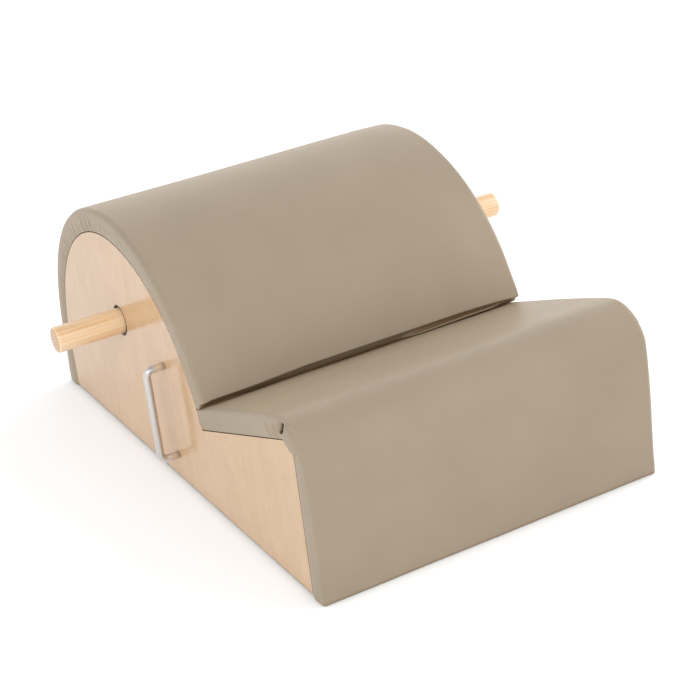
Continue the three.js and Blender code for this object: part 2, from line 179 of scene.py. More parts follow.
seat_run = np.array([math.cos(SEAT_SLOPE), math.sin(SEAT_SLOPE)])
end_out = np.array([math.cos(BARREL_END_ANGLE), math.sin(BARREL_END_ANGLE)])
arch_end = np.array(ARCH_CENTRE) + ARCH_RADIUS * end_out
notch = arch_end + NOTCH_DEPTH * np.array([seat_run[1], -seat_run[0]])
seat_length = (HALF_LENGTH - notch[0]) / seat_run[0]
crest_turn = math.pi / 2 + SEAT_SLOPE
crest_tangent = CREST_RADIUS * math.tan(crest_turn / 2)
CREST_START = seat_length - crest_tangent
CREST_END = CREST_START + CREST_RADIUS * crest_turn
crest_centre = (HALF_LENGTH - CREST_RADIUS, notch[1] + seat_length * seat_run[1] - crest_tangent)
BACK_RISE = ARCH_CENTRE[1] - UNDERSIDE

barrel_route = Route(
    straight((-HALF_LENGTH, UNDERSIDE), (-HALF_LENGTH, ARCH_CENTRE[1])),
    arc(ARCH_CENTRE, ARCH_RADIUS, math.pi, BARREL_END_ANGLE),
)
step_route = Route(
    straight(notch, notch + CREST_START * seat_run),
    arc(crest_centre, CREST_RADIUS, crest_turn, 0),
    straight((HALF_LENGTH, crest_centre[1]), (HALF_LENGTH, UNDERSIDE)),
)


def barrel_at(degrees):
    """Length along the barrel's route at an angle of its arch."""
    return BACK_RISE + ARCH_RADIUS * (math.pi - math.radians(degrees))


def barrel_thickness(s):
    waist = between(s, *(share * barrel_route.length for share in BACK_WAIST_SHARES))
    crown = TOP_CROWN * hump(s, barrel_at(TOP_CROWN_ANGLE), TOP_CROWN_WIDTH)
    return BARREL_THICKNESS - BACK_WAIST * waist + crown


def step_thickness(s):
    middle = (CREST_START + CREST_END) / 2
    down = np.clip((s - CREST_END) / (step_route.length - CREST_END), 0, 1)
    along = np.clip(s / CREST_START, 0, 1)
    return (
        SEAT_THICKNESS
        + SEAT_CROWN * np.sin(math.pi * along)
        + (CREST_THICKNESS - SEAT_THICKNESS) * smooth(s, CREST_START - CREST_LEAD_IN, middle)
        + (FRONT_THICKNESS - CREST_THICKNESS) * smooth(s, middle, CREST_END + CREST_LEAD_OUT)
        + FRONT_CROWN * np.sin(math.pi * down)
    )


# Pad meshes. A pad starts as a box of lines in its own three directions: s along the route, y across it and
# u up its side, from 0 at the bottom to 1 at the top. Its edges are rounded, its folds are added and the box
# is then laid along the route.


def spread(start, end, step):
    """Lines from start to end, about a step apart."""
    count = max(1, round(abs(end - start) / step))
    return list(np.linspace(start, end, count + 1))


def rounding(edge, radius, inwards):
    """Lines across a rounded edge, from its inner side out to the edge."""
    turns = np.linspace(0, math.pi / 4, EDGE_STEPS + 1)
    return [edge + inwards * radius * (1 - math.tan(t)) for t in turns]


def lines_of(*parts):
    """Sorted lines without near copies."""
    kept = []
    for value in sorted(v for part in parts for v in part):
        if not kept or value - kept[-1] > SAME_LINE:
            kept.append(value)
    return np.array(kept)


class Box:
    """The vertices and faces of a box of lines, open below unless it is closed."""

    def __init__(self, s_lines, y_lines, u_lines, closed=False):
        n, m, rows = len(s_lines), len(y_lines), len(u_lines)
        around = (
            [(i, 0) for i in range(n - 1)]
            + [(n - 1, j) for j in range(m - 1)]
            + [(i, m - 1) for i in range(n - 1, 0, -1)]
            + [(0, j) for j in range(m - 1, 0, -1)]
        )
        inner = [(i, j) for i in range(1, n - 1) for j in range(1, m - 1)]
        ring_s, flat_s = (s_lines[[i for i, _ in places]] for places in (around, inner))
        ring_y, flat_y = (y_lines[[j for _, j in places]] for places in (around, inner))
        levels = [u_lines[-1], u_lines[0]] if closed else [u_lines[-1]]
        self.around = len(around)
        self.s = np.concatenate([np.tile(ring_s, rows)] + [flat_s] * len(levels))
        self.y = np.concatenate([np.tile(ring_y, rows)] + [flat_y] * len(levels))
        self.u = np.concatenate([np.repeat(u_lines, self.around)] + [np.full(len(inner), u) for u in levels])
        self.faces = []
        for row in range(rows - 1):
            for k in range(self.around):
                right = (k + 1) % self.around
                low, high = row * self.around, (row + 1) * self.around
                self.faces.append((low + k, low + right, high + right, high + k))
        for level in range(len(levels)):
            ring_start = 0 if level else (rows - 1) * self.around
            inner_start = rows * self.around + level * len(inner)
            number = {place: ring_start + k for k, place in enumerate(around)}
            number.update({place: inner_start + k for k, place in enumerate(inner)})
            for i in range(n - 1):
                for j in range(m - 1):
                    corners = (number[i, j], number[i + 1, j], number[i + 1, j + 1], number[i, j + 1])
                    self.faces.append(corners[::-1] if level else corners)


class Pad:
    """One pad's form. fold moves its faces out. bow moves its ends along the route and off it.

    fine holds the stretches that get closer lines: start, end and step.
    """

    def __init__(self, route, start, end, thickness, fold, bow, end_radii, fine):
        self.route = route
        self.start = start
        self.end = end
        self.thickness = thickness
        self.fold = fold
        self.bow = bow
        self.end_radii = end_radii
        self.fine = fine

    def shaped(self, low, inset, steps, closed=False):
        """A box of lines and the places of its vertices, rounded and folded, before they are laid out."""
        s_step, y_step, u_step = steps
        half = HALF_WIDTH + SIDE_STAND - inset
        start, end = self.start + inset, self.end - inset
        edge = EDGE_RADIUS - inset
        start_tip, end_tip = (max(radius - inset, LEAST_RADIUS) for radius in self.end_radii)
        full = float(self.thickness(np.array([start]))[0]) - inset - low
        s_parts = [spread(start + start_tip, end - end_tip, s_step)]
        s_parts += [rounding(start, start_tip, 1), rounding(end, end_tip, -1)]
        s_parts += [spread(*stretch) for stretch in self.fine]
        band = half - edge - SIDE_BAND
        y_half = lines_of(spread(0, band, y_step), spread(band, half - edge, SIDE_BAND_STEP))
        y_half = lines_of(y_half, rounding(half, edge, -1))
        u_lines = lines_of(spread(0, 1 - edge / full, u_step / full), rounding(1, edge / full, -1))
        box = Box(lines_of(*s_parts), lines_of(-y_half, y_half), u_lines, closed)

        high = self.thickness(box.s) - inset
        h = low + (high - low) * box.u
        soft = smooth(h, CORNER_LOW, CORNER_HIGH)
        tip = np.where(box.s < (start + end) / 2, start_tip, end_tip)
        sharp = max(CORNER_EDGE_RADIUS - inset, LEAST_RADIUS)
        at_end = smooth(box.s, *(end - length for length in CORNER_EDGE_LENGTHS))
        top_edge = edge + (sharp - edge) * at_end
        corner = min(CORNER_RADIUS, start_tip, end_tip, sharp)
        tips = corner + (tip - corner) * soft
        edges = corner + (top_edge - corner) * soft
        core_s = np.clip(box.s, start + tips, end - tips)
        core_y = np.clip(box.y, edges - half, half - edges)
        core_h = np.minimum(h, high - top_edge)

        core = np.stack([core_s, core_y, core_h], axis=1)
        radii = np.stack([tips, edges, top_edge], axis=1)
        ratio = (np.stack([box.s, box.y, h], axis=1) - core) / radii
        facing = ratio / np.maximum(np.linalg.norm(ratio, axis=1, keepdims=True), 1e-9)
        place = core + facing * radii
        place = place + facing * self.fold(*place.T, facing)[:, None]
        place[:, 0] = np.clip(place[:, 0], start, end)
        along, off = self.bow(*place.T)
        place[:, 0] += along
        if not closed:
            place[:, 2] += off
        return box, place, facing

    def cover(self, name):
        """The vinyl cover: one sheet over the top, the sides and the ends, turned under the deck."""
        box, place, facing = self.shaped(UNDER_GAP + UNDER_RADIUS, 0, COVER_STEPS)
        count = box.around
        ring, plan = place[:count], facing[:count, :2]
        plan = plan / np.linalg.norm(plan, axis=1, keepdims=True)
        rows = [place]
        for angle in np.linspace(0, math.pi / 2, CORNER_STEPS + 1)[1:]:
            row = ring.copy()
            row[:, :2] -= plan * UNDER_RADIUS * (1 - math.cos(angle))
            row[:, 2] = UNDER_GAP + UNDER_RADIUS * (1 - math.sin(angle))
            rows.append(row)
        rim = ring.copy()
        rim[:, 0] = np.clip(ring[:, 0], self.start + FLAP_WIDTH, self.end - FLAP_WIDTH)
        rim[:, 1] = np.clip(ring[:, 1], -INNER_HALF, INNER_HALF)
        rim[:, 2] = UNDER_GAP
        rows.append(rim)
        faces = list(box.faces)
        above = 0
        for k in range(len(rows) - 1):
            below = len(place) + k * count
            for i in range(count):
                right = (i + 1) % count
                faces.append((below + i, below + right, above + right, above + i))
            above = below
        sheet = mesh_object(name, self.route.place(*np.concatenate(rows).T), faces)
        return finished(sheet, thickened)

    def foam(self, name):
        """The foam core, on the deck and inside the cover."""
        box, place, _ = self.shaped(FOAM_LOW, FOAM_INSET, FOAM_STEPS, closed=True)
        return finished(mesh_object(name, self.route.place(*place.T), box.faces))


def mesh_object(name, points, faces):
    mesh = bpy.data.meshes.new(name)
    mesh.from_pydata([tuple(p) for p in points], [], faces)
    made = bpy.data.objects.new(name, mesh)
    bpy.context.scene.collection.objects.link(made)
    return made


def finished(made, work=None):
    """Runs work on the object's bmesh, turns all faces out, and shades it smooth."""
    mesh = bmesh.new()
    mesh.from_mesh(made.data)
    bmesh.ops.remove_doubles(mesh, verts=mesh.verts, dist=SAME_POINT)
    bmesh.ops.recalc_face_normals(mesh, faces=mesh.faces)
    if work is not None:
        work(mesh)
    mesh.to_mesh(made.data)
    mesh.free()
    for face in made.data.polygons:
        face.use_smooth = True
    return made


def thickened(mesh):
    """Gives a sheet, whose normals point out, an inner face and a rim."""
    mesh.normal_update()
    inner = {v: mesh.verts.new(v.co - v.normal * COVER_THICKNESS) for v in list(mesh.verts)}
    rim = [e for e in mesh.edges if e.is_boundary]
    for face in list(mesh.faces):
        mesh.faces.new([inner[v] for v in reversed(face.verts)])
    for edge in rim:
        a, b = edge.verts
        mesh.faces.new((a, b, inner[b], inner[a]))
    bmesh.ops.recalc_face_normals(mesh, faces=mesh.faces)


# Folds of the vinyl. A crease is its place along the pad, its lean, how high up the side strip it reaches,
# its width and its depth.

BARREL_CREASES = [
    (barrel_at(angle), *marks)
    for angle, *marks in (
        # where the arch turns over, in the angle of the arch: the deepest gathers
        (108.5, 0.00, 0.025, 0.0018, 0.0023),
        (104.3, 0.00, 0.026, 0.0017, 0.0020),
        (100.8, 0.00, 0.025, 0.0019, 0.0023),
        (113.9, 0.10, 0.020, 0.0018, 0.0013),
        (96.8, 0.10, 0.017, 0.0015, 0.0009),
        (92.1, 0.10, 0.021, 0.0018, 0.0014),
        (88.4, 0.12, 0.026, 0.0015, 0.0010),
        (84.9, 0.10, 0.018, 0.0014, 0.0006),
        # fainter ones down the back
        (118.6, 0.10, 0.026, 0.0015, 0.0008),
        (121.9, -0.05, 0.021, 0.0016, 0.0011),
        (125.6, -0.10, 0.014, 0.0015, 0.0007),
        (131.3, -0.15, 0.023, 0.0019, 0.0012),
        (134.4, -0.05, 0.013, 0.0014, 0.0006),
        (139.8, -0.12, 0.019, 0.0017, 0.0009),
        (147.2, -0.10, 0.016, 0.0017, 0.0006),
        (152.0, -0.10, 0.021, 0.0018, 0.0007),
        (160.5, -0.10, 0.014, 0.0016, 0.0004),
        # and down the front
        (79.8, 0.10, 0.019, 0.0016, 0.0008),
        (75.2, 0.14, 0.024, 0.0017, 0.0010),
        (69.0, 0.10, 0.016, 0.0015, 0.0007),
        (62.3, 0.12, 0.021, 0.0018, 0.0008),
        (54.0, 0.10, 0.015, 0.0016, 0.0005),
        (43.0, 0.10, 0.018, 0.0018, 0.0005),
    )
]
STEP_CREASES = [
    (0.2257, -0.17, 0.027, 0.0025, 0.0024),
    (0.2345, 0.02, 0.021, 0.0015, 0.0010),
    (0.2398, 0.04, 0.027, 0.0016, 0.0014),
    (0.2455, 0.06, 0.026, 0.0017, 0.0019),
    (0.2640, -0.20, 0.026, 0.0016, 0.0010),
    (0.2705, -0.25, 0.025, 0.0016, 0.0009),
    (0.0090, 0.10, 0.020, 0.0014, 0.0007),
    (0.0150, 0.05, 0.016, 0.0014, 0.0006),
]
FAR_SHIFT = 0.0045  # far side's creases along from the near side's
FAR_SHARE = 0.8  # depth of the far side's creases
CREASE_FULL = 0.55  # share of its reach up the strip where a crease gets its full depth
CREASE_ROLL, CREASE_ROLL_WIDTH = 0.45, 2.4  # the vinyl stands up beside it, in shares of its depth and width

# From here on, two numbers say where a form starts and is full, and four where it starts, is full, fades
# and ends. They are places along or across the pad, or heights.

# How far a face has turned to the side, or up, where its folds count
FACES_SIDE = (0.3, 0.9)
FACES_SIDE_AT_TUCK = (0.2, 0.8)
FACES_UP = (0.8, 1.0)

# Ripples at the foot of the side strips
RIPPLE_COUNT = 14
RIPPLE_LENGTHS = (0.006, 0.024)
RIPPLE_STRENGTHS = (0.4, 1.0)
RIPPLE_FADE = 1.3  # power of their fading up the strip
FAR_RIPPLE_SHIFT = 0.3
BARREL_RIPPLE, BARREL_RIPPLE_SEED = 0.00010, 3
BARREL_GATHER = 0.00028  # deeper where the vinyl is gathered
BARREL_GATHERED = [barrel_at(angle) for angle in (178, 160, 84, 40)]
STEP_RIPPLE, STEP_RIPPLE_SEED = 0.00008, 11
STEP_GATHER = 0.00016
STEP_GATHER_AT, STEP_GATHER_WIDTH = 0.262, 0.022

# Soft unevenness of the tops
SWELL = 0.00018
SWELL_COUNT = 10
SWELL_LENGTHS = (0.07, 0.20)
BARREL_SWELL_SEED, STEP_SWELL_SEED = 5, 9

# The tuck at the crest, where the strip's spare vinyl is folded over towards the front. The fold and its
# slit lean, and their places along the pad are those at TUCK_LEVEL.
TUCK_AT = 0.2602  # edge of the fold
TUCK_LEAN, TUCK_LEVEL = 0.10, 0.010
TUCK_RISE = 0.0030
TUCK_ALONG = (TUCK_AT, TUCK_AT + 0.0010, TUCK_AT + 0.010, 0.2800)
TUCK_HEIGHTS = (0.0, 0.005, 0.024, 0.031)
SLIT_AT = TUCK_AT - 0.0060  # middle of the slit behind that edge
SLIT_DEPTH, SLIT_WIDTH = 0.0060, 0.0030
SLIT_HEIGHTS = (DECK_HIGH, 0.0125, 0.021, 0.028)
TUCK_LINE_DEPTH = 0.0013  # the lines along the fold's top and down its far end
TOP_LINE_HEIGHT, TOP_LINE_WIDTH = 0.0280, 0.0013
TOP_LINE_ALONG = (TUCK_AT - 0.001, TUCK_AT + 0.001, 0.2735, 0.2765)
END_LINE_AT, END_LINE_LEVEL = 0.2740, 0.030
END_LINE_LEAN, END_LINE_WIDTH = 0.25, 0.0012
END_LINE_HEIGHTS = (0.006, 0.012, 0.028, 0.031)

# The far corner of the crest, pulled flat up to a fold that ends there
FAR_CREST_ACROSS = (0.17, 0.235)
FAR_FLAT_START = 0.2560
FAR_FLAT_END = 0.2728
FAR_FLAT_DEPTH = 0.0005
FAR_FLAT_STEP = 0.0010
FAR_STEP_ALONG = (FAR_FLAT_END - 0.0006, FAR_FLAT_END + 0.0006, FAR_FLAT_END, FAR_FLAT_END + 0.012)
FAR_CREST_RISE = 0.0013  # step pad's far edge, over the crest
FAR_CREST_AT, FAR_CREST_WIDTH = 0.281, 0.018

# The far side of both pads
FAR_EDGE_PULL = 0.0022  # barrel pad's far edge, down its front
FAR_EDGE_ACROSS = (0.16, 0.236)
FAR_EDGE_ALONG = [barrel_at(angle) for angle in (86, 66)]
FAR_TOP_RISE = 0.0012  # barrel pad fuller towards its far side, over the top
FAR_TOP_ACROSS = (-0.06, 0.16, 0.19, 0.236)
FAR_TOP_AT, FAR_TOP_WIDTH = barrel_at(97), 0.10
FAR_FOOT_FLARE = 0.0026  # step pad's far side, at its foot
FAR_FOOT_ALONG = (step_route.length - 0.080, step_route.length)

# Front end of the barrel pad
LIP_PLACES = (-0.236, -0.163, -0.090, 0.150, 0.200, 0.236)  # across the pad
LIP_DRAWN_UP = (0.0, 0.0004, 0.0028, 0.0028, 0.0012, -0.0006)
LIP_HEIGHTS = (0.014, 0.029)
BELLY = 0.0058
BELLY_HEIGHTS = (0.0240, 0.0140)
BELLY_ALONG = (barrel_route.length - 0.030, barrel_route.length)
NEAR_CORNER_DROP = 0.0012  # near corner, down over the step pad
NEAR_CORNER_ACROSS = (0.220, 0.234)
END_FOLD, END_FOLD_WIDTH = 0.0104, 0.0021  # a fold of that end comes forward
END_FOLD_HEIGHT, END_FOLD_PLACE, END_FOLD_CLIMB = 0.0170, 0.09, 0.016  # it gets higher across the pad
END_FOLD_ACROSS = (0.050, 0.085, 0.180, 0.222)
NEAR_FOLD, NEAR_FOLD_WIDTH, NEAR_FOLD_HEIGHT = 0.0060, 0.0015, 0.0110  # and a smaller one at the near corner
NEAR_FOLD_ACROSS = (-0.236, -0.228, -0.195, -0.160)
END_FOLD_ALONG = (barrel_route.length - 0.004, barrel_route.length - 0.001)

# Back end of the step pad: its corners are rounded off at the bottom, and the far one is drawn in
BACK_CORNER_ACROSS = (0.215, 0.235)
BACK_CORNER_LENGTH = 0.030
BACK_CORNER_CUT = 0.011
FAR_BACK_CORNER_CUT = 0.0030
FAR_BACK_CORNER_HEIGHTS = (0.010, 0.028)


def creases(s, h, marks):
    out = np.zeros(len(s))
    for place, lean, reach, width, depth in marks:
        across = (s - place - lean * h) / width
        up = smooth(h, reach, reach * CREASE_FULL)
        out += depth * up * (CREASE_ROLL * hump(across, 0, CREASE_ROLL_WIDTH) - hump(across, 0, 1))
    return out


def ripples(s, seed):
    """A fixed uneven wave along the pad, between about -1 and 1."""
    draw = np.random.default_rng(seed)
    out = np.zeros(len(s))
    for _ in range(RIPPLE_COUNT):
        length = draw.uniform(*RIPPLE_LENGTHS)
        out += draw.uniform(*RIPPLE_STRENGTHS) * np.sin(2 * math.pi * (s / length + draw.uniform(0, 1)))
    return out / math.sqrt(RIPPLE_COUNT)


def swell(s, y, seed):
    """A fixed soft unevenness over the pad's top, between about -1 and 1."""
    draw = np.random.default_rng(seed)
    out = np.zeros(len(s))
    for _ in range(SWELL_COUNT):
        length = draw.uniform(*SWELL_LENGTHS)
        turn = draw.uniform(0, math.pi)
        out += np.sin(2 * math.pi * ((s * math.cos(turn) + y * math.sin(turn)) / length + draw.uniform(0, 1)))
    return out / math.sqrt(SWELL_COUNT)


def side_fold(s, y, h, facing, thick, marks, seed, rough):
    """How far the side strips stand out: a soft bulge, ripples at their foot and creases."""
    side = smooth(np.abs(facing[:, 1]), *FACES_SIDE)
    up = np.clip(h / thick, 0, 1)
    bulge = SIDE_BULGE * np.sin(math.pi * up)
    foot = rough * ripples(s + FAR_RIPPLE_SHIFT * (y > 0), seed) * (1 - up) ** RIPPLE_FADE
    near = creases(s, h, marks)
    far = FAR_SHARE * creases(s - FAR_SHIFT, h, marks)
    drawn_in = FOOT_DRAWN_IN * smooth(h, *FOOT_HEIGHTS)
    total = bulge + foot - drawn_in + np.where(y < 0, near, far)
    over_deck = DECK_CLEAR - SIDE_STAND - CREASE_ROOM * smooth(h, DECK_HIGH, DECK_HIGH + CREASE_ROOM_RISE)
    return side * np.maximum(total, over_deck)


def barrel_fold(s, y, h, facing):
    rough = BARREL_RIPPLE + BARREL_GATHER * between(s, *BARREL_GATHERED)
    side = side_fold(s, y, h, facing, barrel_thickness(s), BARREL_CREASES, BARREL_RIPPLE_SEED, rough)
    top = SWELL * smooth(facing[:, 2], *FACES_UP) * swell(s, y, BARREL_SWELL_SEED)
    pull = FAR_EDGE_PULL * smooth(y, *FAR_EDGE_ACROSS) * smooth(s, *FAR_EDGE_ALONG)
    rise = FAR_TOP_RISE * between(y, *FAR_TOP_ACROSS) * hump(s, FAR_TOP_AT, FAR_TOP_WIDTH)
    return side + top + (rise - pull) * facing[:, 2]


def tuck(s, h):
    """The raised fold, the slit behind it, and the lines along its top and down its far end."""
    here = s - TUCK_LEAN * (h - TUCK_LEVEL)
    raised = between(here, *TUCK_ALONG) * between(h, *TUCK_HEIGHTS)
    slit = hump(here, SLIT_AT, SLIT_WIDTH) * between(h, *SLIT_HEIGHTS)
    top_line = hump(h, TOP_LINE_HEIGHT, TOP_LINE_WIDTH) * between(s, *TOP_LINE_ALONG)
    end_at = END_LINE_AT + END_LINE_LEAN * (END_LINE_LEVEL - h)
    end_line = hump(s, end_at, END_LINE_WIDTH) * between(h, *END_LINE_HEIGHTS)
    return TUCK_RISE * raised - SLIT_DEPTH * slit - TUCK_LINE_DEPTH * (top_line + end_line)


def far_crest(s):
    """How far in the crest's far corner lies: pulled flat up to a fold, and fuller round that."""
    flat = np.sin(math.pi * np.clip((s - FAR_FLAT_START) / (FAR_FLAT_END - FAR_FLAT_START), 0, 1))
    rise = FAR_CREST_RISE * hump(s, FAR_CREST_AT, FAR_CREST_WIDTH)
    return FAR_FLAT_DEPTH * flat + FAR_FLAT_STEP * between(s, *FAR_STEP_ALONG) - rise


def step_fold(s, y, h, facing):
    rough = STEP_RIPPLE + STEP_GATHER * hump(s, STEP_GATHER_AT, STEP_GATHER_WIDTH)
    side = side_fold(s, y, h, facing, step_thickness(s), STEP_CREASES, STEP_RIPPLE_SEED, rough)
    tucked = smooth(np.abs(facing[:, 1]), *FACES_SIDE_AT_TUCK) * np.where(y < 0, tuck(s, h), 0.0)
    top = SWELL * smooth(facing[:, 2], *FACES_UP) * swell(s, y, STEP_SWELL_SEED)
    flat = far_crest(s) * smooth(y, *FAR_CREST_ACROSS) * np.clip(facing[:, 2], 0, 1)
    flare = FAR_FOOT_FLARE * smooth(s, *FAR_FOOT_ALONG) * np.clip(facing[:, 1], 0, 1)
    return side + tucked + top - flat + flare


def barrel_bow(s, y, h):
    """The front end bellies down onto the step pad behind its lip, where two folds of it come forward."""
    lip = -np.interp(y, LIP_PLACES, LIP_DRAWN_UP) * smooth(h, *LIP_HEIGHTS)
    belly = BELLY * smooth(h, *BELLY_HEIGHTS)
    corner = NEAR_CORNER_DROP * smooth(-y, *NEAR_CORNER_ACROSS)
    along = (belly + lip + corner) * smooth(s, *BELLY_ALONG)
    fold_height = END_FOLD_HEIGHT + END_FOLD_CLIMB * (y - END_FOLD_PLACE)
    fold = END_FOLD * hump(h, fold_height, END_FOLD_WIDTH) * between(y, *END_FOLD_ACROSS)
    near_fold = NEAR_FOLD * hump(h, NEAR_FOLD_HEIGHT, NEAR_FOLD_WIDTH) * between(y, *NEAR_FOLD_ACROSS)
    return along, (fold + near_fold) * smooth(s, *END_FOLD_ALONG)


def step_bow(s, y, h):
    """The back end's corners are drawn in at the bottom, and the far one at the top too."""
    corner = smooth(np.abs(y), *BACK_CORNER_ACROSS)
    low = BACK_CORNER_CUT * np.clip(1 - h / BACK_CORNER_CUT, 0, 1) ** 2
    high = FAR_BACK_CORNER_CUT * smooth(h, *FAR_BACK_CORNER_HEIGHTS) * (y > 0)
    return (low + high) * corner * smooth(s, BACK_CORNER_LENGTH, 0.0), np.zeros(len(s))


barrel_pad = Pad(
    route=barrel_route,
    start=PAD_FLOOR_GAP - UNDERSIDE,
    end=barrel_route.length,
    thickness=barrel_thickness,
    fold=barrel_fold,
    bow=barrel_bow,
    end_radii=BARREL_END_RADII,
    fine=[
        (barrel_at(166), barrel_at(116), 0.0012),
        (barrel_at(116), barrel_at(86), 0.0007),
        (barrel_route.length - 0.02, barrel_route.length - 0.003, 0.0015),
    ],
)
step_pad = Pad(
    route=step_route,
    start=STEP_START,
    end=step_route.length - (PAD_FLOOR_GAP - UNDERSIDE),
    thickness=step_thickness,
    fold=step_fold,
    bow=step_bow,
    end_radii=STEP_END_RADII,
    fine=[(0.222, 0.249, 0.0007), (0.249, 0.284, 0.0004), (0.284, 0.300, 0.001)],
)


# Turned and bent pieces

DOWEL_FACETS = 96
DOWEL_ROUNDING, DOWEL_ROUNDING_STEPS = 0.0030, 8
DOWEL_END_SHARES = (0.35, 0.7)  # of its radius: rings on its flat ends
DOWEL_RINGS = (DOWEL_ROUNDING + 0.01, 0.12, 0.24)  # in from each end
BAR_FACETS = 32
BEND_STEPS = 13


def tube_faces(first, rings, facets):
    """Faces between rings of vertices that follow each other, the first from vertex number first."""
    faces = []
    for ring in range(rings - 1):
        start = first + ring * facets
        for k in range(facets):
            right = (k + 1) % facets
            faces.append((start + k, start + right, start + facets + right, start + facets + k))
    return faces


def dowel_piece():
    """A round bar along Y with rounded ends, from a profile of radii and distances in from each end."""
    radius = (dowel_high.x - dowel_low.x) / 2
    profile = [(radius * share, 0.0) for share in DOWEL_END_SHARES]
    for t in np.linspace(0, math.pi / 2, DOWEL_ROUNDING_STEPS):
        profile.append((radius - DOWEL_ROUNDING * (1 - math.sin(t)), DOWEL_ROUNDING * (1 - math.cos(t))))
    profile += [(radius, inwards) for inwards in DOWEL_RINGS]
    rings = [(r, dowel_low.y + d) for r, d in profile]
    rings += [(r, dowel_high.y - d) for r, d in reversed(profile)]
    x, z = dowel_centre
    points = [(x, dowel_low.y, z)]
    for r, y in rings:
        for k in range(DOWEL_FACETS):
            turn = 2 * math.pi * k / DOWEL_FACETS
            points.append((x + r * math.cos(turn), y, z + r * math.sin(turn)))
    points.append((x, dowel_high.y, z))
    last = 1 + (len(rings) - 1) * DOWEL_FACETS
    around = [(k, (k + 1) % DOWEL_FACETS) for k in range(DOWEL_FACETS)]
    faces = [(0, 1 + right, 1 + k) for k, right in around]
    faces += tube_faces(1, len(rings), DOWEL_FACETS)
    faces += [(last + k, last + right, len(points) - 1) for k, right in around]
    return finished(mesh_object("hand_dowel_turned", points, faces))


def bent_handle(name, node, out):
    """A round bar: out from the panel, up and back. out is -1 on the near side and 1 on the far side."""
    low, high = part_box(node)
    bar = (high.x - low.x) / 2
    foot = high.y if out < 0 else low.y
    reach = abs(high.y - low.y) - bar
    x = (low.x + high.x) / 2
    bottom, top = low.z + bar, high.z - bar
    turns = np.linspace(0, math.pi / 2, BEND_STEPS)
    path = [(0.0, bottom, 0.0)]
    for t in turns:
        path.append((reach - HANDLE_BEND * (1 - math.sin(t)), bottom + HANDLE_BEND * (1 - math.cos(t)), t))
    for t in turns:
        away = reach - HANDLE_BEND * (1 - math.cos(t))
        path.append((away, top - HANDLE_BEND * (1 - math.sin(t)), math.pi / 2 + t))
    path.append((0.0, top, math.pi))
    points = []
    for away, z, heading in path:
        for k in range(BAR_FACETS):
            turn = 2 * math.pi * k / BAR_FACETS
            across = bar * math.cos(turn)
            side = bar * math.sin(turn)
            y = foot + out * (away + side * math.sin(heading))
            points.append((x + across, y, z - side * math.cos(heading)))
    faces = [tuple(range(BAR_FACETS)), tuple(range(len(points) - BAR_FACETS, len(points)))]
    faces += tube_faces(0, len(path), BAR_FACETS)
    made = finished(mesh_object(name, points, faces))
    for face in made.data.polygons:
        face.use_smooth = len(face.vertices) == 4
    return made


# Materials


def linear(hex_colour):
    """A screen colour such as "c9a97f" as linear light."""
    shares = [int(hex_colour[k : k + 2], 16) / 255 for k in (0, 2, 4)]
    return (*[x / 12.92 if x <= 0.04045 else ((x + 0.055) / 1.055) ** 2.4 for x in shares], 1.0)


